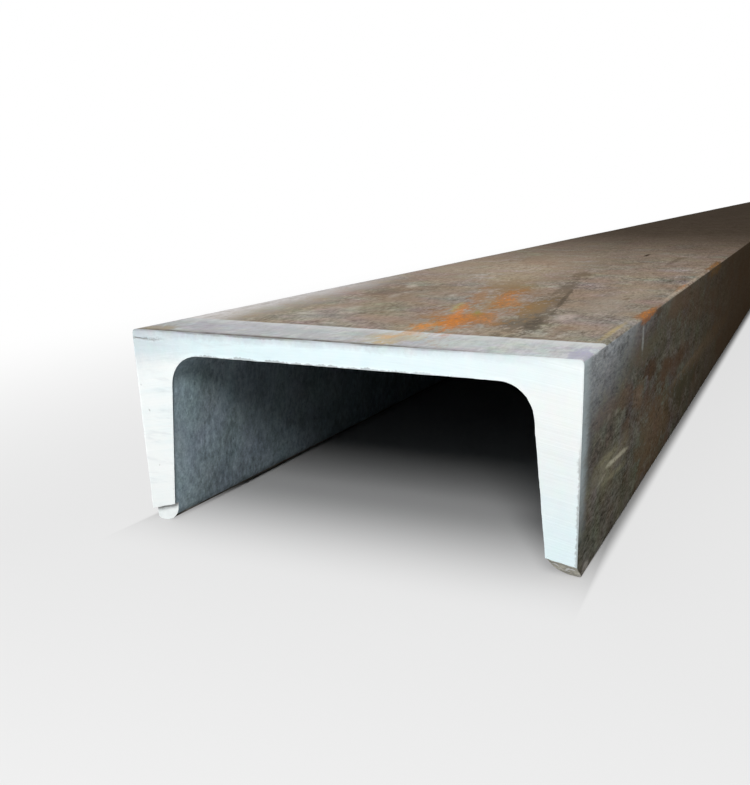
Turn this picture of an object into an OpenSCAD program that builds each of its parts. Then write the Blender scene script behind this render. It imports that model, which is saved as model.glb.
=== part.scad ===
// Hot-rolled steel channel with tapered flanges, lying on its toes with the web on top.
// Lengths are in millimetres. The bar runs along Y, its section stands in the XZ plane,
// and the origin lies under the middle of the bar, on the level of the flange toes.

/* [Section] */
// Depth of the section, across the back of the web
depth = 120; // [80:1:200]
// Width of each flange, from the back of the web to the toe
flange_width = 53; // [42:1:80]
// Thickness of the web
web_thickness = 5.5; // [4:0.1:9]
// Thickness of each flange, at the middle of its clear width
flange_thickness = 9; // [7.5:0.1:12]
// Slope of the inner face of each flange, in percent
flange_slope = 10; // [4:0.5:12]

/* [Rolled corners] */
// Radius between the web and each flange, on the inside
root_radius = 9; // [4:0.1:12]
// Radius of each toe, on the inside
toe_radius = 4.5; // [2:0.1:5]
// Radius of the two outer corners of the web
heel_radius = 1; // [0.4:0.1:2]
// Radius of each toe, on the outside
toe_edge_radius = 1; // [0.4:0.1:1.5]

/* [Bar] */
// Length of the bar
length = 3000; // [500:100:12000]

/* [Sawn end] */
// Height of the step that the saw left at the toe of the left flange
left_break_height = 4.6; // [0.5:0.1:12]
// Depth of that step, along the bar
left_break_depth = 1.9; // [0.2:0.1:10]
// Angle by which the step climbs towards the inner face of the flange
left_break_angle = 15.5; // [0:0.5:30]
// Height of the slant that broke off at the toe of the right flange
right_break_height = 5.4; // [0.5:0.1:12]
// Depth of that slant at the end of the toe, along the bar
right_break_depth = 6.2; // [0.2:0.1:10]
// Angle by which the slant climbs towards the inner face of the flange
right_break_angle = 10; // [0:0.5:30]

/* [Hidden] */
$fn = 96;
// How far a cutter reaches past the surface that it cuts
clearance = 1;
half_depth = depth / 2;
slope = flange_slope / 100;
taper_angle = atan(slope);
// Height at which flange_thickness is measured
gauge_height = (flange_width - web_thickness) / 2;
web_underside = flange_width - web_thickness;

// Thickness of the flange at a height above the toe, before the corners are rounded
function thickness_at(height) = flange_thickness + slope * (height - gauge_height);

// Place across the section of the inner face of the right flange at a height
function inner_face(height) = half_depth - thickness_at(height);

// Point on a circle, by its centre, its radius and an angle
function on_circle(centre, radius, angle) = centre + radius * [cos(angle), sin(angle)];

// Centre of the fillet between web and flange, which touches both
root_centre = [
    inner_face(web_underside - root_radius * (1 - sin(taper_angle)))
        - root_radius * cos(taper_angle),
    web_underside - root_radius
];

// Centre of the round of the toe, which touches the inner face and the end of the flange
toe_centre = [
    inner_face(toe_radius * (1 - sin(taper_angle))) + toe_radius * cos(taper_angle),
    toe_radius
];

// What a round takes off an edge: all that lies between its arc and the corner, and a little
// outside it. The arc runs anticlockwise between the two angles at which it meets the faces.
module round_off(centre, radius, start_angle, end_angle) {
    reach = radius + clearance;
    corner_reach = reach / cos((end_angle - start_angle) / 2);
    difference() {
        polygon([
            centre,
            on_circle(centre, reach, start_angle),
            on_circle(centre, corner_reach, (start_angle + end_angle) / 2),
            on_circle(centre, reach, end_angle)
        ]);
        translate(centre) circle(radius);
    }
}

// One half of the section with sharp outer edges, from the middle of the web to the right
// flange. A circle hollows the root between the points at which it meets web and flange.
module rolled_half() {
    difference() {
        polygon([
            [0, web_underside],
            on_circle(root_centre, root_radius, 90),
            on_circle(root_centre, root_radius, taper_angle),
            [inner_face(0), 0],
            [half_depth, 0],
            [half_depth, flange_width],
            [0, flange_width]
        ]);
        translate(root_centre) circle(root_radius);
    }
}

module half_section() {
    difference() {
        rolled_half();
        round_off(toe_centre, toe_radius, 180 + taper_angle, 270);
        round_off(
            [half_depth - toe_edge_radius, toe_edge_radius],
            toe_edge_radius, 270, 360
        );
        round_off(
            [half_depth - heel_radius, flange_width - heel_radius],
            heel_radius, 0, 90
        );
    }
}

module section() {
    half_section();
    mirror([1, 0]) half_section();
}

// The piece of a toe that broke off before the saw was through, on one side of the bar. It is
// top_depth deep along the bar where it starts and bottom_depth deep at the end of the toe.
module break_off(side, height, top_depth, bottom_depth, climb) {
    width = thickness_at(height) + 4 * clearance;
    reach = 2 * height;
    reach_depth = top_depth + (bottom_depth - top_depth) * reach / height;
    translate([side * (half_depth - thickness_at(height) / 2), -length / 2, height])
        rotate([0, -side * climb, 0])
            rotate([90, 0, 90])
                linear_extrude(width, center = true)
                    polygon([
                        [-clearance, 0],
                        [top_depth, 0],
                        [reach_depth, -reach],
                        [-clearance, -reach]
                    ]);
}

module channel_bar() {
    color("dimgray")
        difference() {
            rotate([90, 0, 0]) linear_extrude(length, center = true) section();
            break_off(
                -1, left_break_height, left_break_depth, left_break_depth, left_break_angle
            );
            break_off(1, right_break_height, 0, right_break_depth, right_break_angle);
        }
}

channel_bar();
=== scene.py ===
"""Looks of one hot-rolled steel channel bar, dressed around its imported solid.

The bar lies on the toes of its flanges with the web on top. Its length runs along Y, from the
near sawn end to the far one. Sizes are in metres, unless a name or a docstring says otherwise.
The finishes and their marks are measured in millimetres.
"""

import logging
import math
from dataclasses import dataclass, field
from enum import Enum
from functools import reduce
from typing import Callable, Dict, FrozenSet, List, Sequence, Tuple, Union

import bmesh
import bpy
from bmesh.types import BMesh, BMFace, BMVert
from bpy.types import Material, Node, NodeSocket, Object, World
from mathutils import Euler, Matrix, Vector, noise

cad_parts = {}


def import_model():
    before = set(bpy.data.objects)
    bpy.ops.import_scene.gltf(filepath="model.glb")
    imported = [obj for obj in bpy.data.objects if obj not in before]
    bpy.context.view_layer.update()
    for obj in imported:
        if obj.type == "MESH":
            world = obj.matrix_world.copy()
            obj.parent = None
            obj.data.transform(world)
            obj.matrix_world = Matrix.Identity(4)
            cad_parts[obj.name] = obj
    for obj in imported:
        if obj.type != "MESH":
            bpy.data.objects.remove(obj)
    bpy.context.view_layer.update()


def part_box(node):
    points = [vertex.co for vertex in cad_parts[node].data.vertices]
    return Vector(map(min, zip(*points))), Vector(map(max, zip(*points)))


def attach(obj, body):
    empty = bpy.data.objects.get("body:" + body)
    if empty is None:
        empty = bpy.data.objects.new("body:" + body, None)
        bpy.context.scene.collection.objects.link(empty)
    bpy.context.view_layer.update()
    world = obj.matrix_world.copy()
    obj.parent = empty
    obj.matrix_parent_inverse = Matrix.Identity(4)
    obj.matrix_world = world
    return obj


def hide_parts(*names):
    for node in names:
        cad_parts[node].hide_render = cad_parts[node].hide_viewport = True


LOG = logging.getLogger("channel_bar")
NODE = "channel_bar"
MM = 0.001

Colour = Tuple[float, float, float]
Key = Union[int, str]
Value = Union["Socket", float, Sequence[float]]
Layers = Tuple[Tuple[float, float], ...]


def srgb(red: float, green: float, blue: float) -> Colour:
    """Turns a display colour into the linear one that shaders take.

    Args:
        red: Red on the display, from 0 to 255.
        green: Green on the display, from 0 to 255.
        blue: Blue on the display, from 0 to 255.

    Returns:
        The linear colour, each part from 0 to 1.
    """

    def linear(part: float) -> float:
        """One part of the colour."""
        share = part / 255
        return share / 12.92 if share <= 0.04045 else ((share + 0.055) / 1.055) ** 2.4

    return linear(red), linear(green), linear(blue)


def ripple(place: Vector, layers: Layers, level: float = 0.0) -> float:
    """Noise for meshes, in layers.

    Args:
        place: Where it is read.
        layers: Size of the features of each layer and its strength.
        level: Value that the noise lies around.

    Returns:
        The noise.
    """
    return sum((strength * noise.noise(place / size) for size, strength in layers), level)


def as_object(name: str, mesh: BMesh, data_name: str = "") -> Object:
    """Turns a mesh into an object of the scene.

    Args:
        name: Name of the object.
        mesh: The mesh, which is freed.
        data_name: Name of the object's data, if it isn't the object's own.

    Returns:
        The object.
    """
    data = bpy.data.meshes.new(data_name or name)
    mesh.to_mesh(data)
    mesh.free()
    made = bpy.data.objects.new(name, data)
    bpy.context.scene.collection.objects.link(made)
    return made


class Finish(Enum):
    """Finishes of the bar, by the number of their slot in its mesh."""

    WEB_SCALE = 0
    FLANGE_SCALE = 1
    INNER_SCALE = 2
    SAWN = 3
    TORN = 4


class Face(Enum):
    """Faces of the bar that carry marks."""

    WEB_BACK = "web back"
    RIGHT_FLANGE = "right flange"


def operator(operation: str, swapped: bool = False) -> Callable[["Socket", Value], "Socket"]:
    """Makes a method of sockets that adds a maths node.

    Args:
        operation: Operation of the node.
        swapped: Whether the node takes the socket after the other value.

    Returns:
        The method.
    """

    def method(this: "Socket", other: Value) -> "Socket":
        """Result of the operation on this socket and another value."""
        values = (other, this) if swapped else (this, other)
        return this.graph.math(operation, *values)

    return method


class Socket:
    """Output of a shader node that takes part in Python expressions.

    Sockets add, subtract and multiply. The most and the least of one and another value are the
    larger and the smaller of the two.
    """

    __add__ = __radd__ = operator("ADD")
    __sub__ = operator("SUBTRACT")
    __rsub__ = operator("SUBTRACT", swapped=True)
    __mul__ = __rmul__ = operator("MULTIPLY")
    most = operator("MAXIMUM")
    least = operator("MINIMUM")

    def __init__(self, graph: "Graph", owner: Node, output: Key = 0) -> None:
        """Wraps an output.

        Args:
            graph: Node tree that holds the node.
            owner: Node that holds the output.
            output: Name or number of the output. It counts for nothing if the node has none.
        """
        self.graph = graph
        self.owner = owner
        self.output = owner.outputs[output] if owner.outputs else None

    def sibling(self, output: Key) -> "Socket":
        """Another output of the same node."""
        return Socket(self.graph, self.owner, output)

    def __abs__(self) -> "Socket":
        """Size of this value without its sign."""
        return self.graph.math("ABSOLUTE", self)

    def capped(self, high: float = 1.0) -> "Socket":
        """This value, but not above a limit nor below 0."""
        return self.least(high).most(0.0)

    def rise(self, low: float, high: float) -> "Socket":
        """Smooth step up.

        Args:
            low: Value at which the step starts, where it is 0.
            high: Value at which the step ends, where it is 1.

        Returns:
            The step, from 0 to 1.
        """
        sockets = {"Value": self, "From Min": low, "From Max": high}
        return self.graph.node("ShaderNodeMapRange", sockets, interpolation_type="SMOOTHSTEP")

    def fall(self, low: float, high: float) -> "Socket":
        """Smooth step down, from 1 at the low value to 0 at the high one."""
        return 1.0 - self.rise(low, high)

    def band(self, low: float, high: float, soft: float) -> "Socket":
        """One between two values and 0 outside them, with soft edges."""
        return self.rise(low - soft, low + soft) * self.fall(high - soft, high + soft)


class Graph:
    """Node tree of a material or of the world, filled by Python expressions."""

    def __init__(self, owner: Union[Material, World]) -> None:
        """Empties the node tree of its owner.

        Args:
            owner: The material or world.
        """
        owner.use_nodes = True
        self.owner = owner
        self.tree = owner.node_tree
        self.tree.nodes.clear()

    def node(self, kind: str, sockets: Dict[Key, Value], output: Key = 0, **settings: str) -> Socket:
        """Adds a node.

        Args:
            kind: Type of the node.
            sockets: Values or links, by the name or number of the input that takes them.
            output: Name or number of the output that is wanted.
            settings: Settings of the node, which are made before its inputs are fed.

        Returns:
            That output.
        """
        made = self.tree.nodes.new(kind)
        for name, setting in settings.items():
            setattr(made, name, setting)
        for key, value in sockets.items():
            self.feed(made.inputs[key], value)
        return Socket(self, made, output)

    def feed(self, entry: NodeSocket, value: Value) -> None:
        """Links or sets an input.

        Args:
            entry: The input.
            value: A socket, a number, a vector or a colour.
        """
        if isinstance(value, Socket):
            self.tree.links.new(value.output, entry)
        elif isinstance(value, (int, float)):
            entry.default_value = value
        else:
            parts = tuple(value)
            entry.default_value = parts + (1.0,) * (len(entry.default_value) - len(parts))

    def math(self, operation: str, *values: Value) -> Socket:
        """Maths node on one value or two."""
        return self.node("ShaderNodeMath", dict(enumerate(values)), operation=operation)

    def vector(self, operation: str, *values: Value, output: int = 0) -> Socket:
        """Vector maths node on one vector or two."""
        return self.node("ShaderNodeVectorMath", dict(enumerate(values)), output, operation=operation)

    def mix(self, share: Value, first: Value, second: Value, blend: str = "MIX") -> Socket:
        """Mixes two colours.

        Args:
            share: How much the second colour counts, from 0 to 1.
            first: First colour.
            second: Second colour.
            blend: How they are blended. OVERLAY makes the first darker where the second is
                below 0.5, and lighter where it is above.

        Returns:
            The mixed colour.
        """
        sockets = {0: share, 6: first, 7: second}
        return self.node("ShaderNodeMix", sockets, 2, data_type="RGBA", blend_type=blend)

    def grain(self, place: Socket, size: float, detail: float, rough: float, key: Key = 0) -> Socket:
        """Noise with features of about one size.

        Args:
            place: Where it is read, as a vector in millimetres.
            size: Size of its largest features, in millimetres.
            detail: Number of finer layers on top.
            rough: How strong the finer layers are.
            key: Output that is wanted: 0 for one noise, or "Color" for three.

        Returns:
            The noise, around 0.5.
        """
        sockets = {"Vector": place, "Scale": 1 / size, "Detail": detail, "Roughness": rough}
        return self.node("ShaderNodeTexNoise", sockets, key)

    def drift(self, colour: Value, place: Socket, size: float, amount: float) -> Socket:
        """Lets the hue of a colour wander from place to place.

        Args:
            colour: The colour.
            place: Where it is read, as a vector in millimetres.
            size: Size of the largest patches of one hue, in millimetres.
            amount: How far each part of the colour wanders, from 0 to 1.

        Returns:
            The colour with its drift.
        """
        return self.mix(amount, colour, self.grain(place, size, 3.0, 0.6, "Color"), "OVERLAY")

    def light_path(self) -> Socket:
        """One for rays from the camera, and for those that gloss and glass pass on."""
        camera = self.node("ShaderNodeLightPath", {}, "Is Camera Ray")
        return camera.most(camera.sibling("Is Glossy Ray").most(camera.sibling("Is Transmission Ray")))

    def principled(
        self, colour: Socket, roughness: Socket, height: Socket, metallic: Value, gloss: float
    ) -> Material:
        """Ends the tree of a material in a Principled shader.

        Args:
            colour: Colour of the surface.
            roughness: Its roughness.
            height: Its height in millimetres, for the bump.
            metallic: How metallic it is.
            gloss: Strength of the gloss where it isn't metallic.

        Returns:
            The material.
        """
        bump = self.node("ShaderNodeBump", {"Height": height, "Distance": MM, "Strength": 1.0})
        sockets = {"Base Color": colour, "Roughness": roughness, "Metallic": metallic}
        sockets.update({"Specular IOR Level": gloss, "Normal": bump})
        shader = self.node("ShaderNodeBsdfPrincipled", sockets)
        self.node("ShaderNodeOutputMaterial", {"Surface": shader})
        return self.owner


@dataclass(frozen=True)
class Section:
    """Rolled section of the bar: a web with a tapered flange under each edge."""

    depth: float
    flange_width: float
    web_thickness: float = 5.5 * MM
    flange_thickness: float = 9.0 * MM
    slope: float = 0.10
    root_radius: float = 9.0 * MM
    toe_radius: float = 4.5 * MM
    edge_radius: float = 1.0 * MM
    arc_segments: int = 8
    edge_segments: int = 3
    spacing: float = 3.0 * MM

    @property
    def half_depth(self) -> float:
        """Half the depth of the section."""
        return self.depth / 2

    @property
    def web_underside(self) -> float:
        """Height of the underside of the web above the toes."""
        return self.flange_width - self.web_thickness

    def thickness_at(self, height: float) -> float:
        """Thickness of a flange at a height above its toe."""
        return self.flange_thickness + self.slope * (height - self.web_underside / 2)

    def inner_face(self, height: float) -> float:
        """Distance from the middle of the web to the inner face of a flange at a height."""
        return self.half_depth - self.thickness_at(height)

    def corners(self) -> Tuple[Tuple[float, float, float, float, int], ...]:
        """Corners of the section, round its outline.

        Returns:
            The place of each across the bar, its height, its radius, the angle by which the
            outline turns there, and the number of segments of its arc.
        """
        square = math.pi / 2
        slanted = square - math.atan(self.slope)
        edge = (self.edge_radius, square, self.edge_segments)
        root = (self.root_radius, slanted, self.arc_segments)
        toe = (self.toe_radius, slanted, self.arc_segments)
        right = (
            (self.half_depth, self.flange_width, *edge),
            (self.half_depth, 0.0, *edge),
            (self.inner_face(0.0), 0.0, *toe),
            (self.inner_face(self.web_underside), self.web_underside, *root),
        )
        return right + tuple((-across, *rest) for across, *rest in reversed(right))

    def draw(self, mesh: BMesh) -> BMFace:
        """Draws the section across the middle of the bar, with its corners rounded.

        Args:
            mesh: Mesh that takes the section.

        Returns:
            The face, which looks towards the near end.
        """
        corners = self.corners()
        points = [mesh.verts.new((across, 0.0, height)) for across, height, *_ in corners]
        mesh.faces.new(points)
        for point, (_, _, radius, turn, segments) in zip(points, corners):
            bmesh.ops.bevel(
                mesh,
                geom=[point],
                offset=radius * math.tan(turn / 2),
                offset_type="OFFSET",
                affect="VERTICES",
                segments=segments,
                profile=0.5,
                material=-1,
            )
        for edge in list(mesh.edges):
            cuts = int(edge.calc_length() / self.spacing)
            if cuts:
                bmesh.ops.subdivide_edges(mesh, edges=[edge], cuts=cuts)
        face = mesh.faces[:][0]
        face.normal_update()
        if face.normal.y > 0:
            face.normal_flip()
        return face


@dataclass(frozen=True)
class SawBurr:
    """Ragged lip that the saw leaves round a cut end.

    The seed is where along the bar its noise is read, and the sizes of that noise are in
    millimetres.
    """

    seed: float
    reach: float = 0.9 * MM
    outer_flare: float = 0.05 * MM
    inner_flare: float = 0.46 * MM
    inner_even: float = 0.7
    inner_ragged: float = 0.3
    lip: float = 0.12 * MM
    lip_start: float = 0.4
    level: float = 0.8
    least: float = 0.05
    layers: Layers = ((11, 0.9), (2.3, 0.5), (0.9, 0.25))

    def strength(self, place: Vector) -> float:
        """How strong the burr is at a place on the outline, from about 0 to 2."""
        point = Vector((place.x, self.seed, place.z)) / MM
        return max(self.least, ripple(point, self.layers, self.level))

    def rise(self, place: Vector) -> float:
        """How far the lip stands out from the cut at a place on the outline."""
        return self.lip * (self.strength(place) - self.lip_start)

    def push(self, place: Vector, outward: Vector, depth: float, inside: bool) -> Vector:
        """How far the burr moves a point across the bar.

        Args:
            place: Place of the point.
            outward: Direction out of the section at that point.
            depth: Distance from the cut end.
            inside: Whether the point is on the inside of the channel, where less was lost.

        Returns:
            The move.
        """
        share = max(0.0, 1 - depth / self.reach) ** 2
        flare = self.inner_flare if inside else self.outer_flare * self.strength(place)
        rough = self.inner_even + self.inner_ragged * self.strength(place) if inside else 1.0
        return outward * (flare * rough * share)


@dataclass(frozen=True)
class ToeBreak:
    """Piece of a toe that broke off before the saw was through.

    The break is a ledge across the flange and a back wall, which may lean.
    """

    side: int
    height: float
    top_depth: float
    bottom_depth: float
    climb: float
    finish: Finish
    roughness: float = 0.12 * MM
    tear_size: float = 1.6 * MM
    tear_shift: float = 17.0
    margin: float = 1.0 * MM
    cuts: int = 14

    def ledge(self, share: float, width: float) -> float:
        """Height of the ledge at a share of a width to the right of the middle of the flange."""
        return self.height - self.side * math.tan(self.climb) * share * width

    def tear(self, place: Vector) -> Vector:
        """How far the torn surface strays at a place, by one noise for each axis."""
        points = [place / self.tear_size + Vector((axis * self.tear_shift, 0, 0)) for axis in range(3)]
        return Vector([noise.noise(point) for point in points]) * self.roughness

    def cutter(self, section: Section, near: float) -> Object:
        """Makes the body that the break takes off.

        Args:
            section: Section of the bar.
            near: Place of the near end along the bar.

        Returns:
            The body.
        """
        width = section.thickness_at(self.height) + 2 * self.margin
        middle = self.side * (section.half_depth - section.thickness_at(self.height) / 2)
        lean = (self.bottom_depth - self.top_depth) * math.cos(self.climb) / self.height
        mesh = bmesh.new()
        bmesh.ops.create_cube(mesh, size=1.0)
        bmesh.ops.subdivide_edges(mesh, edges=mesh.edges, cuts=self.cuts, use_grid_fill=True)
        for vert in mesh.verts:
            across, along, up = vert.co + Vector((0.5, 0.5, 0.5))
            ledge = self.ledge(across - 0.5, width)
            drop = (1 - up) * (ledge + self.margin)
            depth = self.top_depth + lean * drop
            back = near - self.margin + along * (depth + self.margin)
            place = Vector((middle + (across - 0.5) * width, back, ledge - drop))
            vert.co = place + self.tear(place)
        bmesh.ops.recalc_face_normals(mesh, faces=mesh.faces)
        for face in mesh.faces:
            face.material_index = self.finish.value
        return as_object("toe_break", mesh)


@dataclass(frozen=True)
class Mark:
    """Stain, scratch or spot on a face: an ellipse with a ragged edge.

    Its place and size are in millimetres: along the bar from the near end, and across the face
    from the left edge of the web or down from the web's back. Its turn is in degrees. Its edge
    is as ragged and as soft as the two shares say, and the lower its cover, the more of it
    breaks up into specks.
    """

    along: float
    across: float
    length: float
    width: float
    colour: Colour
    strength: float = 0.6
    turn: float = 0.0
    ragged: float = 0.7
    soft: float = 0.6
    cover: float = 0.85

    def mask(self, spot: "ScaleSpot") -> Socket:
        """Where the mark is.

        Args:
            spot: Spot that may be inside it.

        Returns:
            One inside the mark and 0 outside it.
        """
        turn = math.radians(self.turn)
        half_length, half_width = self.length / 2, self.width / 2
        endless = 1000.0
        if spot.face is Face.WEB_BACK:
            centre = (self.across, self.along, 0.0)
            rotation, scale = (0.0, 0.0, turn), (half_width, half_length, endless)
        else:
            centre = (0.0, self.along, self.across)
            rotation, scale = (turn, 0.0, 0.0), (endless, half_length, half_width)
        sockets = {"Vector": spot.place, "Location": centre, "Rotation": rotation, "Scale": scale}
        local = spot.graph.node("ShaderNodeMapping", sockets, vector_type="TEXTURE")
        distance = spot.graph.vector("LENGTH", local, output=1) + spot.ragged * (2 * self.ragged)
        return distance.fall(1 - self.soft, 1.0)


@dataclass(frozen=True)
class Spot:
    """Spot on the bar, as the shader of a finish reads it.

    The parts of its place are in millimetres: across from the left edge of the web, along from
    the near end and down from the back of the web.
    """

    graph: Graph
    place: Socket
    across: Socket
    along: Socket
    down: Socket


@dataclass(frozen=True)
class ScaleSpot(Spot):
    """Spot on the scale of an outer face, with the noises of that scale, all around 0.

    Its looks are mixed from the four noises, and the ragged one frays the edges of marks.
    """

    face: Face
    broad: Socket
    cloud: Socket
    fleck: Socket
    grit: Socket
    ragged: Socket

    @property
    def relief(self) -> Socket:
        """Height of the rough scale, in millimetres."""
        return self.cloud * 0.22 + self.fleck * 0.22 + self.grit * 0.14

    def tone(self, *shares: float) -> Socket:
        """Light and dark of the surface.

        Args:
            shares: How strongly each noise counts, from the broadest to the finest.

        Returns:
            The tone, around 0.5.
        """
        noises = (self.broad, self.cloud, self.fleck, self.grit)
        return sum((layer * share for layer, share in zip(noises, shares)), 0.5)

    def paint(self, colour: Socket, marks: Sequence[Mark]) -> Socket:
        """Lays marks over a colour, one after the other.

        Args:
            colour: Colour below the marks.
            marks: The marks.

        Returns:
            The colour with the marks.
        """
        worn = self.fleck * 1.6 + self.grit * 2.0
        for mark in marks:
            share = (worn * (2.0 - mark.cover) + mark.cover).least(1.0) * mark.mask(self)
            colour = self.graph.mix(share.most(0.0) * mark.strength, colour, mark.colour)
        return colour


@dataclass(frozen=True)
class BarFinish:
    """What all finishes of the bar share: its section and the place of its near end."""

    section: Section
    near: float

    def spot(self, name: str) -> Spot:
        """Starts the material.

        Args:
            name: Name of the material.

        Returns:
            The spot that its shader colours.
        """
        graph = Graph(bpy.data.materials.new(name))
        coordinates = graph.node("ShaderNodeTexCoord", {}, "Object")
        corner = (self.section.half_depth, -self.near, -self.section.flange_width)
        moved = graph.vector("ADD", coordinates, corner)
        place = graph.vector("MULTIPLY", moved, (1 / MM, 1 / MM, -1 / MM))
        across = graph.node("ShaderNodeSeparateXYZ", {0: place})
        return Spot(graph, place, across, across.sibling(1), across.sibling(2))


@dataclass(frozen=True)
class StainedScale(BarFinish):
    """Mill scale on an outer face. It carries marks, and is drawn out along the bar."""

    face: Face

    def spot(self, name: str) -> ScaleSpot:
        """Starts the material, with the noises of the scale.

        Args:
            name: Name of the material.

        Returns:
            The spot that its shader colours.
        """
        spot = super().spot(name)
        grain = spot.graph.grain
        rolled = spot.graph.vector("MULTIPLY", spot.place, (1.0, 0.45, 1.0))
        drawn = spot.graph.vector("MULTIPLY", spot.place, (1.0, 0.3, 1.0))
        broad = grain(rolled, 30, 3, 0.6) - 0.5
        cloud = grain(rolled, 8, 3, 0.65) - 0.5
        fleck = grain(drawn, 2.2, 3, 0.7) - 0.5
        grit = grain(drawn, 0.85, 2, 0.7) - 0.5
        ragged = cloud * 1.2 + fleck * 1.5 + grit * 0.9
        return ScaleSpot(*vars(spot).values(), self.face, broad, cloud, fleck, grit, ragged)


@dataclass(frozen=True)
class WebScale(StainedScale):
    """Brown-grey scale on the back of the web, stained with rust and ground bare by the cut.

    The fades say where along the bar the lilac of the left edge ends, where the grain gets
    stronger and where painted shade darkens the scale away from the near end.
    """

    face: Face = Face.WEB_BACK
    dark: Colour = srgb(98, 90, 79)
    light: Colour = srgb(182, 173, 161)
    warm: Colour = srgb(158, 134, 112)
    # Painted shade colour that darkens the scale away from the near end.
    far_shade: Colour = srgb(92, 80, 68)
    ground: Colour = srgb(193, 196, 195)
    ground_shade: Colour = srgb(150, 149, 152)
    ground_ridge: Colour = srgb(204, 206, 206)
    lilac: Colour = srgb(212, 209, 208)
    rust: Colour = srgb(218, 138, 66)
    # Dark colour of soot, and of the painted shadow under the burr lip along the cut edge.
    soot_and_shade: Colour = srgb(84, 77, 68)
    ground_width: float = 21.5
    lilac_fade: Tuple[float, float] = (90, 190)
    grain_fade: Tuple[float, float] = (90, 150)
    far_shade_fade: Tuple[float, float] = (200, 560)

    rust_marks: Tuple[Mark, ...] = (
        Mark(43, 72.8, 66, 12, srgb(188, 120, 62), 0.95, turn=15, ragged=1.1, cover=0.6),
        Mark(29.5, 69, 27, 10, srgb(192, 136, 78), 0.85, turn=8, cover=0.8),
        Mark(59, 67.4, 44, 5.5, srgb(196, 128, 76), 0.9, turn=14, cover=0.7),
        Mark(92, 71.4, 66, 11, srgb(178, 120, 68), 0.95, turn=16, ragged=1.1, cover=0.6),
        Mark(52, 79.4, 36, 9, srgb(160, 112, 70), 0.65, turn=10, ragged=1.0, cover=0.55),
        Mark(36, 73.4, 36, 6.5, srgb(196, 124, 62), 0.7, turn=14, ragged=1.1, cover=0.75),
    )
    rust_hints: Tuple[Mark, ...] = (
        Mark(50, 72, 84, 27, srgb(170, 126, 80), 0.7, turn=12, soft=0.9),
        Mark(74, 86, 54, 11, srgb(152, 124, 84), 0.65, turn=6),
        Mark(98, 59.5, 62, 7, srgb(168, 124, 86), 0.7, turn=16, cover=0.7),
        Mark(94, 71, 104, 26, srgb(164, 128, 84), 0.6, turn=14, soft=0.9),
        Mark(66, 63.8, 34, 4.5, srgb(176, 168, 116), 0.8, turn=15, cover=0.7),
        Mark(60, 72.6, 20, 4, srgb(142, 136, 74), 0.8, turn=16, cover=0.7),
    )
    edge_rust: Tuple[Mark, ...] = (
        Mark(77, 119.2, 36, 4.6, srgb(152, 98, 50), 0.85),
        Mark(246, 118.8, 72, 4.4, srgb(128, 94, 48), 0.8),
        Mark(150, 118.5, 40, 2.6, srgb(140, 104, 70), 0.5, ragged=0.6),
    )
    stains: Tuple[Mark, ...] = (
        Mark(128, 59, 84, 20, srgb(142, 118, 80), 0.6, turn=14),
        Mark(215, 34, 170, 90, srgb(190, 172, 148), 0.7, soft=0.95),
        Mark(165, 50, 90, 34, srgb(180, 162, 136), 0.6, turn=8),
        Mark(180, 73, 38, 10, srgb(112, 94, 76), 0.6, turn=4),
        Mark(96, 24, 60, 20, srgb(128, 104, 86), 0.5, turn=8),
        Mark(245, 40, 90, 44, srgb(170, 144, 124), 0.5, turn=8),
        Mark(34, 104, 30, 8, srgb(132, 106, 84), 0.5),
        Mark(118, 106, 100, 18, srgb(176, 160, 140), 0.5, soft=0.9),
        Mark(106, 107, 12, 3, srgb(108, 86, 68), 0.6),
        Mark(272, 98, 76, 4, srgb(104, 86, 66), 0.5),
        Mark(298, 78.4, 20, 3.4, srgb(44, 28, 20), 1.0, turn=3, ragged=0.3),
    )
    soot_marks: Tuple[Mark, ...] = (
        Mark(62, 90, 110, 17, srgb(104, 95, 82), 0.85, turn=7),
        Mark(42, 95, 44, 5, srgb(82, 75, 66), 0.65, turn=8),
        Mark(98, 88.2, 96, 2.2, srgb(84, 76, 66), 0.7, turn=9.7, ragged=0.4),
        Mark(132, 80, 90, 9, srgb(112, 101, 86), 0.7, turn=8),
    )
    rubbed: Tuple[Mark, ...] = (
        Mark(41, 27, 7, 8, srgb(196, 190, 178), 0.7),
        Mark(56, 34, 12, 5, srgb(186, 178, 165), 0.6, turn=10),
        Mark(88, 32, 16, 4, srgb(182, 172, 160), 0.55, turn=12),
        Mark(117, 25, 17, 5.5, srgb(200, 188, 174), 0.8, turn=16, ragged=0.5),
        Mark(96, 50, 10, 3.4, srgb(188, 180, 168), 0.6, turn=14),
        Mark(60, 99, 17, 7, srgb(190, 174, 164), 0.75),
        Mark(90, 104, 50, 12, srgb(164, 150, 138), 0.4, turn=4),
        Mark(42, 117.2, 44, 2.8, srgb(178, 160, 112), 0.7, ragged=0.6),
        Mark(158, 119, 126, 2.4, srgb(196, 178, 158), 0.75, ragged=0.4),
    )
    ground_marks: Tuple[Mark, ...] = (
        Mark(3, 6, 12, 15, srgb(150, 136, 104), 0.75),
        Mark(13, 30, 22, 60, srgb(178, 176, 184), 0.5),
        Mark(11, 68.5, 26, 17, srgb(178, 168, 140), 0.8),
        Mark(4, 69.5, 9, 9, srgb(184, 160, 118), 0.8),
        Mark(12, 67, 12, 6, srgb(206, 164, 112), 0.7),
        Mark(19, 70.5, 10, 7, srgb(196, 154, 100), 0.75),
        Mark(15, 75, 14, 4, srgb(196, 198, 176), 0.5),
        Mark(12, 44, 20, 24, srgb(170, 176, 174), 0.6),
        Mark(12, 88, 20, 22, srgb(190, 200, 196), 0.5),
        Mark(8, 117.5, 20, 7, srgb(158, 156, 180), 0.75),
    )

    def build(self) -> Material:
        """Makes the material.

        Returns:
            The material.
        """
        spot = self.spot("web_scale")
        mix, width = spot.graph.mix, self.ground_width
        strip = (spot.along + spot.cloud * 1.6).fall(width - 0.4, width + 0.4)
        rusted = self.rusted(spot)

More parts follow.
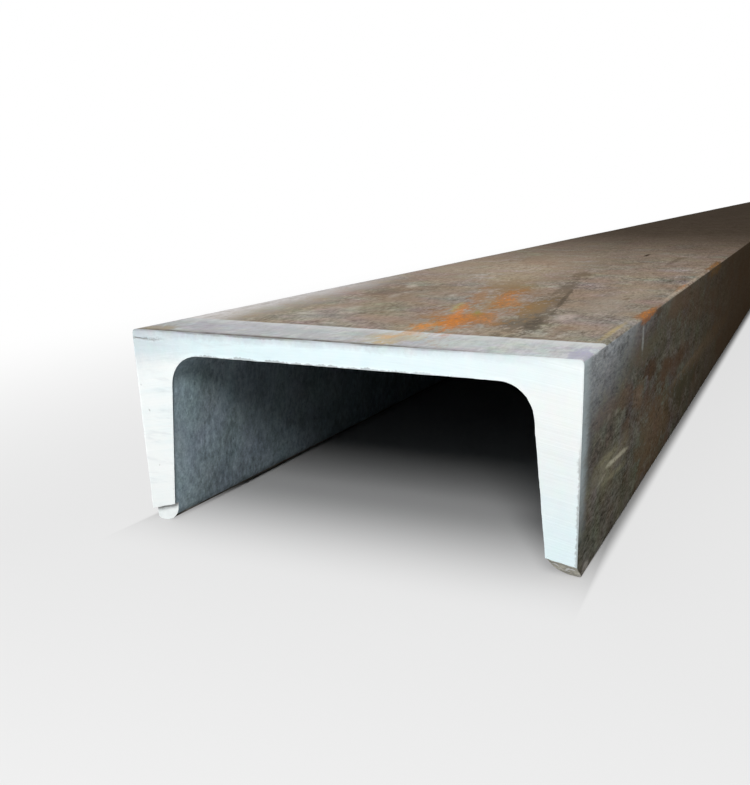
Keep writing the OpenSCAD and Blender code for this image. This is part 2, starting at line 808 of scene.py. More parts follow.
        colour = mix(strip, self.scale(spot), self.ground_strip(spot))
        colour = spot.paint(colour, self.rust_marks + self.edge_rust)
        bright = rusted * (spot.cloud * 1.3 + spot.fleck * 3.0 + spot.grit * 3.6 + 0.1)
        colour = mix(bright.capped(0.8) * (1.0 - strip * 0.6), colour, self.rust)

        roughness = 0.66 + spot.cloud * 0.3 + rusted * 0.14 - strip * 0.22
        height = spot.relief * (1.0 - strip * 0.7)
        height = height + rusted * spot.fleck * 0.35 - strip * 0.06
        return spot.graph.principled(colour, roughness, height, metallic=strip * 0.2, gloss=0.0)

    def rusted(self, spot: ScaleSpot) -> Socket:
        """Where the web is rusted: one inside the rust and 0 outside it."""
        return reduce(Socket.most, [mark.mask(spot) for mark in self.rust_marks + self.edge_rust])

    def scale(self, spot: ScaleSpot) -> Socket:
        """Scale beyond the ground strip.

        Args:
            spot: Spot that it colours.

        Returns:
            Its colour.
        """
        graph, across, along, mix = spot.graph, spot.across, spot.along, spot.graph.mix
        middle = self.section.half_depth / MM
        tone = spot.tone(0.9, 0.8, 1.0, 1.4) + (middle - across) * 0.0015
        tone = tone + along.rise(80, 230) * (175.0 - across) * 0.0026
        colour = mix(tone, self.dark, self.light)
        colour = graph.drift(colour, spot.place, 16, 0.22)
        warm = (graph.grain(spot.place, 26, 3, 0.6) + along * 0.0006).rise(0.42, 0.72)
        colour = mix(warm * 0.55, colour, self.warm)
        burnt = along.band(self.ground_width + 0.4, self.ground_width + 3.0, 1.4)
        burnt = burnt * (0.05 + spot.broad * 3.0 + spot.cloud * 1.6).most(0.0)
        colour = mix(burnt, colour, self.soot_and_shade)
        colour = spot.paint(colour, self.stains + self.soot_marks + self.rubbed + self.rust_hints)
        inward = across + along.rise(100, 170) * 5
        edge = (inward + along * 0.02 + spot.ragged * 18).fall(0.0, 20)
        edge = edge * along.fall(*self.lilac_fade) * (0.98 + spot.fleck * 2.8 + spot.cloud)
        colour = mix(edge.capped(), colour, self.lilac)
        rolled_edge = across.fall(0.8, 3.4) * along.rise(60, 120)
        colour = mix(rolled_edge * (0.3 + spot.cloud * 2.0), colour, self.ground_shade)
        # Painted shade: the scale darkens away from the near end.
        far_shade = along.rise(*self.far_shade_fade) * (0.84 + spot.cloud * 0.6)
        colour = mix(far_shade, colour, self.far_shade)
        grain = spot.tone(0.12, 0.16, 0.34, 0.3)
        return mix(along.rise(*self.grain_fade), colour, grain, "OVERLAY")

    def ground_strip(self, spot: ScaleSpot) -> Socket:
        """Strip that was ground bare beside the cut.

        Args:
            spot: Spot that it colours.

        Returns:
            Its colour.
        """
        graph, across, along, mix = spot.graph, spot.across, spot.along, spot.graph.mix
        brushed = graph.grain(graph.vector("MULTIPLY", spot.place, (0.15, 1.0, 1.0)), 1.2, 3, 0.6)
        tone = spot.tone(0.8, 1.2, 1.4, 1.2) + (brushed - 0.5) * 0.8
        tone = tone + (across - self.section.half_depth / MM) * 0.0012
        tone = tone + across.rise(80, 108) * 0.22
        colour = mix(tone, self.ground_shade, self.ground)
        colour = graph.drift(colour, spot.place, 5, 0.18)
        colour = spot.paint(colour, self.ground_marks)
        ridge = along.rise(self.ground_width - 8, self.ground_width - 1) * 0.6
        colour = mix(ridge * (0.9 + spot.fleck * 2.0), colour, self.ground_ridge)
        # Dark ragged line along the cut edge: soot, and painted shadow under the burr lip.
        lip = (along + spot.cloud * 3.0).fall(1.0, 3.4) * across.fall(70, 110)
        lip = lip * (0.75 + spot.broad * 2.0 + spot.cloud * 3.0)
        return mix(lip.capped(0.85), colour, self.soot_and_shade)


@dataclass(frozen=True)
class FlangeScale(StainedScale):
    """Dark brown-grey scale on the outer faces of the flanges, with a bluish upper edge.

    The fade says where along the bar painted shade darkens the scale.
    """

    face: Face = Face.RIGHT_FLANGE
    dark: Colour = srgb(47, 41, 33)
    light: Colour = srgb(134, 131, 119)
    brown: Colour = srgb(100, 76, 57)
    olive: Colour = srgb(84, 83, 65)
    blue: Colour = srgb(194, 199, 203)
    slate: Colour = srgb(112, 116, 120)
    edge: Colour = srgb(180, 193, 196)
    # Painted shade colour that darkens the scale away from the near end.
    far_shade: Colour = srgb(82, 66, 50)
    far_shade_fade: Tuple[float, float] = (40, 380)

    marks: Tuple[Mark, ...] = (
        Mark(98, 39, 84, 24, srgb(118, 95, 71), 0.65),
        Mark(166, 39, 110, 15, srgb(72, 70, 50), 0.7),
        Mark(82, 10.5, 80, 11, srgb(110, 110, 91), 0.6),
        Mark(85, 18, 30, 9, srgb(92, 68, 50), 0.75),
        Mark(66, 22, 24, 10, srgb(134, 110, 90), 0.6),
        Mark(112, 23, 40, 10, srgb(100, 74, 54), 0.7),
        Mark(150, 25, 60, 10, srgb(98, 72, 58), 0.5),
        Mark(22, 17, 30, 8, srgb(124, 102, 88), 0.4),
        Mark(46, 18, 26, 9, srgb(120, 96, 78), 0.45),
        Mark(30, 32, 60, 10, srgb(160, 154, 130), 0.4),
        Mark(39, 33, 36, 1.9, srgb(206, 201, 178), 0.75, turn=5, ragged=0.5),
        Mark(30, 29.8, 26, 2.2, srgb(150, 145, 118), 0.55, turn=4),
        Mark(19, 34, 14, 1.8, srgb(190, 184, 168), 0.6, turn=-4),
        Mark(36, 36.4, 36, 2.4, srgb(158, 153, 126), 0.5, turn=5),
        Mark(36, 20, 6, 2.2, srgb(160, 152, 140), 0.5),
        Mark(27, 19, 5, 2.4, srgb(152, 146, 134), 0.45),
        Mark(178, 32, 130, 2.4, srgb(147, 132, 112), 0.5),
        Mark(160, 4.5, 160, 10, srgb(128, 112, 94), 0.5),
        Mark(240, 33, 220, 10, srgb(132, 113, 88), 0.55),
        Mark(190, 12, 150, 12, srgb(122, 102, 84), 0.45),
        Mark(68, 6.6, 4.2, 11, srgb(180, 184, 180), 0.65, ragged=0.5),
        Mark(8, 51.4, 9, 4.4, srgb(190, 184, 176), 0.65, ragged=0.6),
        Mark(93, 1.5, 12, 4, srgb(84, 60, 42), 0.7),
        Mark(76, 0.4, 32, 3.6, srgb(180, 116, 62), 0.85),
        Mark(250, 2.4, 64, 5, srgb(158, 118, 62), 0.65),
    )

    def build(self) -> Material:
        """Makes the material.

        Returns:
            The material.
        """
        spot = self.spot("flange_scale")
        colour, roughness = self.colour(spot), 0.66 + spot.cloud * 0.3
        return spot.graph.principled(colour, roughness, spot.relief, metallic=0.0, gloss=0.0)

    def colour(self, spot: ScaleSpot) -> Socket:
        """Colour of the scale.

        Args:
            spot: Spot that it colours.

        Returns:
            The colour.
        """
        graph, along, down, mix = spot.graph, spot.along, spot.down, spot.graph.mix
        tone = spot.tone(0.6, 0.8, 1.2, 1.4)
        colour = mix(tone, self.dark, self.light)
        colour = graph.drift(colour, spot.place, 12, 0.22)
        patches = graph.grain(graph.vector("MULTIPLY", spot.place, (1.0, 0.35, 1.0)), 14, 4, 0.65)
        brown = patches.rise(0.47, 0.66) * along.rise(0, 60)
        colour = mix(brown * 0.55, colour, self.brown)
        colour = mix(patches.fall(0.3, 0.48) * 0.5, colour, self.olive)
        blue = (down + along * 0.16 + spot.ragged * 16).fall(4, 27)
        blue = blue * (0.85 + spot.fleck * 1.6) * (1.0 - along.rise(20, 90) * 0.6)
        colour = mix(blue, colour, mix(tone, self.slate, self.blue))
        edge = (along + spot.ragged * 5).fall(1.0, 8.6) * down.fall(24, 48)
        colour = mix(edge * 0.85, colour, self.edge)
        colour = spot.paint(colour, self.marks)
        low = down.rise(34, 48) * (0.1 + along.rise(110, 240) * 0.3)
        colour = mix(low, colour, self.dark)
        # Painted shade: the scale darkens away from the near end.
        far_shade = along.rise(*self.far_shade_fade) * (0.85 + spot.cloud * 0.5)
        return mix(far_shade, colour, self.far_shade)


@dataclass(frozen=True)
class InnerScale(BarFinish):
    """Blue-grey mill scale inside the trough, with painted shade deeper in."""

    dark: Colour = srgb(100, 112, 118)
    light: Colour = srgb(154, 170, 178)
    # Dark colour of pits, and of the painted shade deeper in the trough.
    pit_and_shade: Colour = srgb(60, 64, 66)
    rim: Colour = srgb(170, 190, 198)

    def build(self) -> Material:
        """Makes the material.

        Returns:
            The material.
        """
        spot = self.spot("inner_scale")
        graph, place, along, mix = spot.graph, spot.place, spot.along, spot.graph.mix
        drawn = graph.vector("MULTIPLY", place, (1.0, 1.0, 0.6))
        broad = graph.grain(place, 34, 3, 0.55)
        cloud = graph.grain(drawn, 7, 4, 0.6)
        fleck = graph.grain(drawn, 1.4, 3, 0.6)
        speck = graph.grain(place, 0.7, 2, 0.7)
        tone = (broad * 0.5 + cloud * 0.6 + (fleck - 0.5) * 0.6).rise(0.25, 0.85)
        colour = mix(tone, self.dark, self.light)
        pits = graph.grain(place, 2.3, 2, 0.6).rise(0.66, 0.76)
        colour = mix(pits * 0.35, colour, self.pit_and_shade)
        rim = (along + (cloud - 0.5) * 14).fall(2, 15)
        colour = mix(rim * 0.42, colour, self.rim)
        # Painted shade: darker deeper into the trough, most of all up under the web.
        deep = along.rise(7, 44) * (0.28 + spot.down.fall(22, 46) * 0.22)
        colour = graph.drift(mix(deep, colour, self.pit_and_shade), place, 14, 0.1)
        speckled = 0.5 + (fleck - 0.5) * 0.3 + (speck - 0.5) * 0.45
        colour = mix(1.0, colour, speckled, "OVERLAY")
        height = cloud * 0.14 + fleck * 0.08 - pits * 0.12
        return graph.principled(colour, 0.6 + cloud * 0.2, height, metallic=0.0, gloss=0.15)


@dataclass(frozen=True)
class SawnSpot(Spot):
    """Spot on a sawn face, with the noises that its looks are mixed from.

    The rings that the blade left and the three grains are around 0.5. The ragged noise is
    around 0.
    """

    coarse: Socket
    fine: Socket
    broad: Socket
    cloud: Socket
    fleck: Socket
    ragged: Socket


@dataclass(frozen=True)
class SawnSteel(BarFinish):
    """Bright sawn face with the marks of a large round blade, and the step of a broken toe.

    The centre of the blade is below the back of the web by the blade's drop.
    """

    step: ToeBreak
    bright: Colour = srgb(248, 252, 251)
    cool: Colour = srgb(212, 237, 243)
    dull: Colour = srgb(198, 206, 211)
    # Colour of the painted shade on the upper right of the face.
    right_shade: Colour = srgb(219, 223, 222)
    line: Colour = srgb(150, 148, 146)
    # Dark colour of dirt and nicks, and of the painted shadow under the ledge of the broken toe.
    dirt_and_shade: Colour = srgb(116, 114, 112)
    blade_drop: float = 330.0
    ring_widths: Tuple[float, float] = (2.6, 0.45)

    def spot(self, name: str) -> SawnSpot:
        """Starts the material, with the noises of the sawn face.

        Args:
            name: Name of the material.

        Returns:
            The spot that its shader colours.
        """
        spot = super().spot(name)
        graph, place = spot.graph, spot.place
        sideways = spot.across - self.section.half_depth / MM
        drop = self.blade_drop - spot.down
        radius = graph.math("SQRT", sideways * sideways + drop * drop)
        coarse, fine = (self.rings(graph, radius, width) for width in self.ring_widths)
        broad = graph.grain(place, 24, 3, 0.55)
        cloud = graph.grain(place, 5, 4, 0.6)
        fleck = graph.grain(place, 0.9, 3, 0.6)
        ragged = (cloud - 0.5) + (fleck - 0.5) * 0.6
        return SawnSpot(*vars(spot).values(), coarse, fine, broad, cloud, fleck, ragged)

    def build(self) -> Material:
        """Makes the material.

        Returns:
            The material.
        """
        spot = self.spot("sawn_steel")
        graph, mix = spot.graph, spot.graph.mix
        colour = graph.drift(self.tint(spot), spot.place, 3.5, 0.16)
        # Painted shadow under the ledge of the broken toe.
        colour = mix(self.ledge_shade(spot), colour, self.dirt_and_shade)
        streak = (spot.fine * 0.6 + spot.coarse * 0.4).rise(0.5, 0.85)
        colour = mix(streak * 0.07, colour, self.line)
        colour = mix(self.scores(spot) * spot.across.fall(20, 110), colour, self.dull)
        lap = self.lap(spot)
        colour = mix(lap.capped(0.8), colour, self.line)
        colour = mix(self.nicks(spot), colour, self.dirt_and_shade)
        specks = graph.grain(spot.place, 1.7, 1, 0.5).rise(0.75, 0.82)
        colour = mix(specks * 0.35, colour, self.line)
        height = spot.fine * 0.035 + spot.coarse * 0.05 + spot.cloud * 0.04
        height = height - lap * 0.3 - specks * 0.1
        roughness, metallic = 0.4 + spot.fine * 0.16, 0.1 + spot.cloud * 0.1
        return graph.principled(colour, roughness, height, metallic, gloss=0.3)

    def tint(self, spot: SawnSpot) -> Socket:
        """Bright and cool areas of the face, its duller edges, and painted shade on its upper right.

        Args:
            spot: Spot that they colour.

        Returns:
            Its colour.
        """
        mix, across, down, ragged = spot.graph.mix, spot.across, spot.down, spot.ragged
        cool = (spot.broad * 0.7 + spot.coarse * 0.35).rise(0.42, 0.82)
        colour = mix(cool * 0.4, self.bright, self.cool)
        toe = across.rise(90, 116) * down.rise(14, 42)
        colour = mix(toe * 0.7, colour, self.cool)
        # Painted shade on the upper right of the face, which the key lamp lights more strongly.
        colour = mix(across.rise(50, 114) * 0.6 * down.fall(20, 60), colour, self.right_shade)
        web = down.fall(4.5, 9.0) * across.fall(60, 150)
        colour = mix(web * 0.6, colour, self.cool)
        corner = (across + down * 2.2 + ragged * 20).fall(4, 36)
        colour = mix(corner * 0.6, colour, self.dull)
        brow = (down + ragged * 2.4).fall(0.3, 2.3) * across.fall(60, 150)
        colour = mix(brow * 0.75, colour, self.dull)
        rim = (down + ragged * 0.8).fall(0.1, 0.6) * (0.5 + (spot.broad - 0.5) * 4.0)
        return mix((rim * across.fall(60, 116)).capped(0.7), colour, self.dirt_and_shade)

    def lap(self, spot: SawnSpot) -> Socket:
        """Crack-like lap that runs in from the left corner.

        Args:
            spot: Spot that it may cross.

        Returns:
            How dark and deep it is.
        """
        lap = (spot.down + spot.ragged * 2.2 - spot.across * 0.02).band(2.2, 2.6, 0.35)
        return lap * spot.across.fall(6, 11) * (0.6 + (spot.fleck - 0.5) * 3.0)

    def scores(self, spot: SawnSpot) -> Socket:
        """Faint scores that run up across the face.

        Args:
            spot: Spot that they may cross.

        Returns:
            How strong they are, from 0 to 0.42.
        """
        slant = (0.0, math.radians(-37), 0.0)
        sockets = {"Vector": spot.place, "Rotation": slant, "Scale": (0.16, 1, 1)}
        slanted = spot.graph.node("ShaderNodeMapping", sockets, vector_type="POINT")
        return spot.graph.grain(slanted, 1.8, 3, 0.65).rise(0.5, 0.78) * 0.42

    def nicks(self, spot: SawnSpot) -> Socket:
        """Nicks under the web and low on the outer edge of the right flange.

        Args:
            spot: Spot that may be nicked.

        Returns:
            How dark they are, from 0 to 0.5.
        """
        across, down, ragged = spot.across, spot.down, spot.ragged
        underside, edge = self.section.web_thickness / MM, self.section.depth / MM
        under = (down + ragged * 2.2).rise(underside, underside + 0.3)
        under = under * down.fall(underside + 0.5, underside + 0.6)
        under = under * across.rise(18, 22) * across.fall(70, 98)
        outer = (across + ragged * 2.4).rise(edge - 0.8, edge - 0.2) * down.rise(16, 26)
        return (under * 0.5).most(outer * 0.5)

    def ledge_shade(self, spot: SawnSpot) -> Socket:
        """Painted shadow in the corner under the ledge of the broken left toe.

        Args:
            spot: Spot that may be dirty.

        Returns:
            The share of painted shadow.
        """
        ledge = self.step.ledge(-0.5, self.section.thickness_at(self.step.height))
        level = (self.section.flange_width - ledge) / MM
        below = spot.down + spot.across * math.tan(self.step.climb) - level
        return spot.along.band(0.5, 6.0, 0.2) * below.fall(0.3, 1.3) * 0.75

    def rings(self, graph: Graph, radius: Socket, size: float) -> Socket:
        """Noise that runs in rings round the centre of the blade.

        Args:
            graph: Node tree that takes the nodes.
            radius: Distance from that centre, in millimetres.
            size: Width of a ring, in millimetres.

        Returns:
            The noise, around 0.5.
        """
        sockets = {"W": radius, "Scale": 1 / size, "Detail": 3.0, "Roughness": 0.6}
        return graph.node("ShaderNodeTexNoise", sockets, noise_dimensions="1D")


@dataclass(frozen=True)
class TornSteel(BarFinish):
    """Tan and dark torn steel where a toe broke off."""

    tan: Colour = srgb(236, 232, 216)
    dark: Colour = srgb(170, 166, 154)
    glint: Colour = srgb(252, 252, 250)

    def build(self) -> Material:
        """Makes the material.

        Returns:
            The material.
        """
        spot = self.spot("torn_steel")
        grain, mix = spot.graph.grain, spot.graph.mix
        cloud = grain(spot.place, 2.6, 3, 0.6)
        fleck = grain(spot.place, 0.7, 2, 0.6)
        colour = mix((cloud * 0.6 + fleck * 0.5).rise(0.4, 0.75), self.dark, self.tan)
        colour = mix(grain(spot.place, 1.4, 1, 0.5).rise(0.58, 0.64), colour, self.glint)
        roughness, height = 0.5 + fleck * 0.3, cloud * 0.3 + fleck * 0.15
        return spot.graph.principled(colour, roughness, height, metallic=0.2, gloss=0.4)


@dataclass
class ChannelBar:
    """The rolled bar: its section drawn out to both sawn ends, with burrs and torn toes.

    The rings at the ends are distances from the end in millimetres. A face points along the bar
    or up where that part of its normal is more than the number given here.
    """

    section: Section
    near: float
    far: float
    first_step: float = 3.0 * MM
    last_step: float = 40.0 * MM
    step_growth: float = 1.12
    fine_zone: float = 9.0 * MM
    fine_cuts: int = 3
    end_rings: Tuple[float, ...] = (6.0, 4.0, 2.6, 1.6, 1.0, 0.7, 0.4, 0.18, 0.0)
    rim: float = 0.35 * MM
    touch: float = 0.01 * MM
    waviness: float = 0.10 * MM
    waves: Layers = ((0.09, 1.0), (0.014, 0.35))
    web_margin: float = 1.0 * MM
    flange_margin: float = 0.6 * MM
    points_along: float = 0.8
    points_up: float = 0.6
    flat: float = 0.9995
    sharp_angle: float = math.radians(34)
    breaks: Tuple[ToeBreak, ...] = (
        ToeBreak(-1, 4.6 * MM, 1.9 * MM, 1.9 * MM, math.radians(15.5), Finish.SAWN),
        ToeBreak(1, 5.4 * MM, 0.0, 6.2 * MM, math.radians(10), Finish.TORN),
    )
    burrs: Dict[int, SawBurr] = field(default_factory=lambda: {-1: SawBurr(3.0), 1: SawBurr(51.0)})

    def steps(self) -> List[float]:
        """Places of the rings on the way from the middle to an end, short of its fine zone.

        Returns:
            Their distances from the middle, closer together towards the end.
        """
        depth, step = self.fine_zone, self.first_step
        depths = []
        while depth < self.far - self.last_step / 2:
            depths.append(depth)
            depth += step
            step = min(step * self.step_growth, self.last_step)
        return [self.far - depth for depth in reversed(depths)]

    def extrude(self, mesh: BMesh, cap: BMFace, place: float, keep: bool = False) -> BMFace:
        """Draws a face out along the bar.

        Args:
            mesh: Mesh that holds the face.
            cap: The face.
            place: Where it goes along Y.
            keep: Whether a face is left at its old place.

        Returns:
            The face at its new place.
        """
        drawn = bmesh.ops.extrude_face_region(mesh, geom=[cap])["geom"]
        moved = next(part for part in drawn if isinstance(part, BMFace))
        for vert in moved.verts:
            vert.co.y = place
        if not keep:
            bmesh.ops.delete(mesh, geom=[cap], context="FACES_ONLY")
        return moved

    def draw_out(self, mesh: BMesh, cap: BMFace, side: int) -> BMFace:
        """Draws the section out from the middle to one end, in rings.

        Args:
            mesh: Mesh that holds the section.
            cap: Face that is drawn out.
            side: -1 for the near end and 1 for the far end.

        Returns:
            The face that closes that end. It is smaller than the section by the rim.
        """
        for place in self.steps():
            cap = self.extrude(mesh, cap, side * place)
        bmesh.ops.subdivide_edges(mesh, edges=cap.edges[:], cuts=self.fine_cuts)
        for depth in self.end_rings:
            cap = self.extrude(mesh, cap, side * (self.far - depth * MM))
        bmesh.ops.recalc_face_normals(mesh, faces=mesh.faces[:])
        outward = {vert.co.copy().freeze(): self.outward(vert) for vert in cap.verts}
        cap = self.extrude(mesh, cap, side * self.far)
        for vert in cap.verts:
            vert.co -= outward[vert.co.copy().freeze()] * self.rim
        return cap

    def outward(self, vert: BMVert) -> Vector:
        """Direction out of the section at a point of its outline."""
        return Vector((vert.normal.x, 0.0, vert.normal.z)).normalized()

    def is_inside(self, place: Vector) -> bool:
        """Whether a place on the outline is on the inside of the channel."""
        below = place.z < self.section.web_underside + self.web_margin
        return below and abs(place.x) < self.section.inner_face(place.z) + self.flange_margin

    def finish_of(self, face: BMFace) -> Finish:
        """Finish of a face of the closed bar, by where it lies.

        Args:
            face: The face.

        Returns:
            Its finish.
        """
        if abs(face.normal.y) > self.points_along:
            return Finish.SAWN
        if self.is_inside(face.calc_center_median()):
            return Finish.INNER_SCALE
        return Finish.WEB_SCALE if face.normal.z > self.points_up else Finish.FLANGE_SCALE

    def roughen(self, mesh: BMesh, caps: Sequence[BMFace]) -> None:
        """Gives the rolled faces their slight waviness and the ends their burrs.

        The outline of each end rises into a low ragged lip round its flat cap.

        Args:
            mesh: Mesh of the closed bar.
            caps: The faces that close its ends.
        """
        mesh.normal_update()
        flat = {vert for cap in caps for vert in cap.verts}
        for vert in mesh.verts:
            if vert in flat:
                continue
            outward = self.outward(vert)
            side = -1 if vert.co.y < 0 else 1
            burr = self.burrs[side]
            depth = self.far - abs(vert.co.y)
            if depth < self.touch:
                vert.co.y += side * burr.rise(vert.co)
            wave = outward * (self.waviness * ripple(vert.co, self.waves))
            vert.co += wave + burr.push(vert.co, outward, depth, self.is_inside(vert.co))
            vert.co.z = max(vert.co.z, 0.0)

    def model(self) -> Object:
        """Models the bar.

        Returns:
            The bar, as an object without materials.
        """
        mesh = bmesh.new()
        near_cap = self.section.draw(mesh)
        far_cap = self.extrude(mesh, near_cap, self.first_step, keep=True)
        near_cap = self.draw_out(mesh, near_cap, -1)
        far_cap = self.draw_out(mesh, far_cap, 1)
        bmesh.ops.recalc_face_normals(mesh, faces=mesh.faces[:])
        self.roughen(mesh, (near_cap, far_cap))
        mesh.normal_update()
        for face in mesh.faces:
            face.material_index = self.finish_of(face).value
        return as_object("channel_body", mesh, NODE)

    def dress(self, bar: Object) -> None:
        """Gives the bar its finishes.

        Args:
            bar: The modelled bar.
        """
        place = (self.section, self.near)
        finishes = {
            Finish.WEB_SCALE: WebScale(*place),
            Finish.FLANGE_SCALE: FlangeScale(*place),
            Finish.INNER_SCALE: InnerScale(*place),
            Finish.SAWN: SawnSteel(*place, step=self.breaks[0]),
            Finish.TORN: TornSteel(*place),
        }
        for finish in Finish:
            bar.data.materials.append(finishes[finish].build())

    def break_toes(self, bar: Object) -> None:
        """Takes the broken pieces off the toes at the near end.

        Args:
            bar: The dressed bar.
        """
        for toe_break in self.breaks:
            cutter = toe_break.cutter(self.section, self.near)
            for material in bar.data.materials:
                cutter.data.materials.append(material)
            modifier = bar.modifiers.new("toe_break", "BOOLEAN")
            modifier.operation = "DIFFERENCE"
            modifier.solver = "MANIFOLD"
            modifier.material_mode = "INDEX"
            modifier.object = cutter
            bpy.context.view_layer.update()
            evaluated = bar.evaluated_get(bpy.context.evaluated_depsgraph_get())
            broken = bpy.data.meshes.new_from_object(evaluated)
            bar.modifiers.clear()
            bar.data = broken
            bpy.data.objects.remove(cutter)

    def clean(self, mesh: BMesh) -> None:
        """Cuts the faces round the breaks into triangles, without slivers that lie back to back.

        The solver numbers its points and faces in another order each time, so they are sorted.

        Args:
            mesh: Mesh of the bar with its toes broken.
        """
        points = sorted(mesh.verts, key=lambda vert: vert.co.to_tuple())
        mesh.verts.sort(key={vert: rank for rank, vert in enumerate(points)}.get)
        faces = sorted(mesh.faces, key=lambda face: face.calc_center_median().to_tuple())
        mesh.faces.sort(key={face: rank for rank, face in enumerate(faces)}.get)
        inner = self.near + self.fine_zone
        cut = [face for face in mesh.faces if face.calc_center_median().y < inner]
        bmesh.ops.triangulate(mesh, faces=cut, quad_method="BEAUTY", ngon_method="BEAUTY")
        twins: Dict[FrozenSet[BMVert], List[BMFace]] = {}
        for face in mesh.faces:
            twins.setdefault(frozenset(face.verts), []).append(face)
        slivers = [face for pair in twins.values() if len(pair) > 1 for face in pair]
        bmesh.ops.delete(mesh, geom=slivers, context="FACES")

    def smooth(self, bar: Object) -> None:
        """Shades the rolled faces smooth, and keeps the edges of cuts and flat ends sharp.

        Args:
            bar: The bar with its toes broken.
        """
        bar.data.shade_smooth()
        bar.data.set_sharp_from_angle(angle=self.sharp_angle)
        mesh = bmesh.new()
        mesh.from_mesh(bar.data)
        self.clean(mesh)
        for edge in mesh.edges:
            flat = [abs(face.normal.y) > self.flat for face in edge.link_faces]
            if any(flat) and not all(flat):
                edge.smooth = False
        mesh.to_mesh(bar.data)
        mesh.free()

    def build(self) -> Object:
        """Makes the finished bar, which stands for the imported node.

        Returns:
            The bar.
        """
        bar = self.model()
        self.dress(bar)
        self.break_toes(bar)
        self.smooth(bar)
        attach(bar, "root")
        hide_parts(NODE)
        return bar


@dataclass(frozen=True)
class Lamp:
    """Soft rectangular lamp, by what it lights and the way from there to the lamp."""

    name: str
    lit: Vector
    away: Vector
    length: float
    width: float
    power: float

    def hang(self) -> None:
        """Hangs the lamp where no camera sees it."""
        data = bpy.data.lights.new(self.name, "AREA")
        data.shape = "RECTANGLE"
        data.size, data.size_y = self.length, self.width
        data.energy = self.power
        light = bpy.data.objects.new(self.name, data)
        light.location = self.lit + self.away
        light.rotation_euler = (self.lit - light.location).to_track_quat("-Z", "Y").to_euler()
        light.visible_camera = False
        bpy.context.scene.collection.objects.link(light)


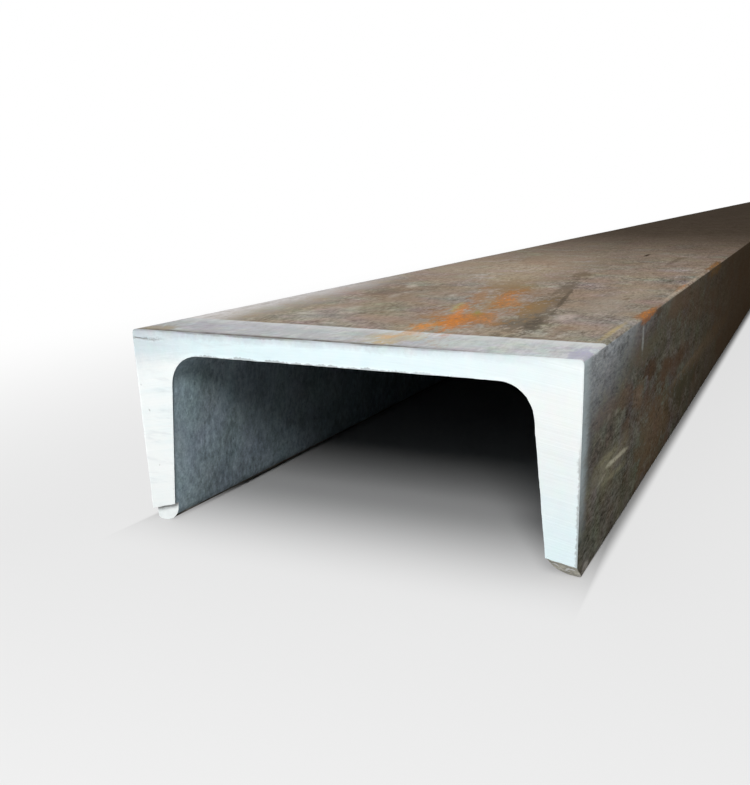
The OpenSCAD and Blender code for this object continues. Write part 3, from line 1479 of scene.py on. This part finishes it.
@dataclass
class Studio:
    """Pale floor, soft lamps and the camera in front of the near end.

    The key lamps stand beyond the ends of the bar. The strips run along it, above its far part
    and low beside its flanges, and each of them lights what it faces equally strongly.
    """

    section: Section
    near: float
    far: float
    lens: float = 40.09
    shift: Tuple[float, float] = (-0.1338, 0.0797)
    camera_offset: Vector = field(default_factory=lambda: Vector((0.10428, -0.17924, 0.08831)))
    heading: float = math.radians(20.78)
    tilt: float = math.radians(17.11)
    clip_start: float = 0.01

    floor_margin: float = 3.0
    floor_grid: int = 8
    floor_grey: float = 0.35
    beside_fade: float = 0.004
    end_fade: Tuple[float, float] = (-0.04, 0.02)
    open_fade: float = 0.3
    near_white: float = 0.7
    open_white: float = 0.3
    room: float = 0.3

    flange_height: float = 0.03
    web_height: float = 0.05
    key_size: float = 0.2
    key_power: float = 4.0
    key_sideways: float = 0.19
    key_beyond: float = 0.47
    key_rise: float = 0.38
    top_size: float = 0.25
    top_power: float = 0.2
    top_inward: float = 0.06
    top_sideways: float = -0.08
    top_rise: float = 0.3
    strip_level: float = 0.6
    strip_distance: float = 0.4
    strip_width: float = 0.03
    far_length: float = 1.2
    far_width: float = 0.2
    far_overhang: float = 0.25
    right_length: float = 2.1

    def floor_material(self) -> Material:
        """White floor that keeps a light shadow beside the bar and a deep one inside it.

        Returns:
            The material.
        """
        graph = Graph(bpy.data.materials.new("studio_floor"))
        coordinates = graph.node("ShaderNodeTexCoord", {}, "Object")
        parts = graph.node("ShaderNodeSeparateXYZ", {0: coordinates})
        across, along = abs(parts), abs(parts.sibling(1))
        beside = across - self.section.half_depth
        beyond = along - self.far
        whiteness = beside.rise(0.0, self.beside_fade).most(beyond.rise(*self.end_fade))
        open_floor = beside.most(beyond).rise(0.0, self.open_fade) * self.open_white
        whiteness = graph.light_path() * (whiteness * self.near_white + open_floor)
        diffuse = graph.node("ShaderNodeBsdfDiffuse", {"Color": (self.floor_grey,) * 3})
        white = graph.node("ShaderNodeEmission", {"Color": (1.0, 1.0, 1.0), "Strength": 1.0})
        surface = graph.node("ShaderNodeMixShader", {0: whiteness, 1: diffuse, 2: white})
        graph.node("ShaderNodeOutputMaterial", {"Surface": surface})
        return graph.owner

    def floor(self) -> None:
        """Lays the floor."""
        mesh = bmesh.new()
        size, segments = self.far + self.floor_margin, self.floor_grid
        bmesh.ops.create_grid(mesh, x_segments=segments, y_segments=segments, size=size)
        floor = as_object("studio_floor", mesh)
        floor.data.materials.append(self.floor_material())

    def strip(self, name: str, lit: Vector, away: Vector, length: float, width: float) -> Lamp:
        """Designs a strip of light along the bar.

        Args:
            name: Name of the lamp.
            lit: Middle of what it lights.
            away: Way from there to the lamp.
            length: Length of the strip, along the bar.
            width: Width of the strip.

        Returns:
            The lamp.
        """
        power = self.strip_level * 2 * math.pi * away.length * length
        return Lamp(name, lit, away, length, width, power)

    def lamps(self) -> List[Lamp]:
        """Designs a lamp at each end, and lamps above the bar and low along its sides.

        Returns:
            The lamps.
        """
        lamps = []
        for name, side, end in (("near_key", -1, self.near), ("far_key", 1, self.far)):
            cut = Vector((0.0, end, self.flange_height))
            away = Vector((-side * self.key_sideways, side * self.key_beyond, self.key_rise))
            lamps.append(Lamp(name, cut, away, self.key_size, self.key_size, self.key_power))
        web = Vector((0.0, self.near + self.top_inward, self.web_height))
        away = Vector((self.top_sideways, 0.0, self.top_rise))
        lamps.append(Lamp("near_top", web, away, self.top_size, self.top_size, self.top_power))
        web = Vector((0.0, self.far + self.far_overhang - self.far_length / 2, self.web_height))
        away = Vector((0.0, 0.0, self.top_rise))
        lamps.append(self.strip("far_top", web, away, self.far_length, self.far_width))
        whole = self.far - self.near
        for name, side, length in (("left_strip", -1, whole), ("right_strip", 1, self.right_length)):
            middle = self.far - length / 2
            flange = Vector((side * self.section.half_depth, middle, self.flange_height))
            away = Vector((side * self.strip_distance, 0.0, 0.0))
            lamps.append(self.strip(name, flange, away, length, self.strip_width))
        return lamps

    def world(self) -> None:
        """Gives the room its even light and its white background."""
        world = bpy.data.worlds.new("studio_room")
        bpy.context.scene.world = world
        graph = Graph(world)
        strength = graph.light_path() * (1.0 - self.room) + self.room
        sockets = {"Color": (1.0, 1.0, 1.0), "Strength": strength}
        background = graph.node("ShaderNodeBackground", sockets)
        graph.node("ShaderNodeOutputWorld", {"Surface": background})

    def camera(self) -> None:
        """Sets the camera in front of the near end, a little above the bar and to its right."""
        data = bpy.data.cameras.new("camera")
        data.lens = self.lens
        data.shift_x, data.shift_y = self.shift
        data.clip_start = self.clip_start
        camera = bpy.data.objects.new("camera", data)
        camera.location = Vector((0.0, self.near, 0.0)) + self.camera_offset
        camera.rotation_euler = Euler((math.pi / 2 - self.tilt, 0.0, self.heading))
        bpy.context.scene.collection.objects.link(camera)
        bpy.context.scene.camera = camera

    def build(self) -> None:
        """Makes the floor, the lights and the camera."""
        self.floor()
        for lamp in self.lamps():
            lamp.hang()
        self.world()
        self.camera()
        bpy.context.scene.view_settings.view_transform = "Standard"


def main() -> None:
    """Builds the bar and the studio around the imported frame."""
    logging.basicConfig(level=logging.INFO, format="%(name)s: %(message)s")
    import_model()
    low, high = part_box(NODE)
    section = Section(depth=high.x - low.x, flange_width=high.z - low.z)
    bar = ChannelBar(section, near=low.y, far=high.y).build()
    LOG.info("%s: %d faces", bar.name, len(bar.data.polygons))
    Studio(section, near=low.y, far=high.y).build()


if __name__ == "__main__":
    main()
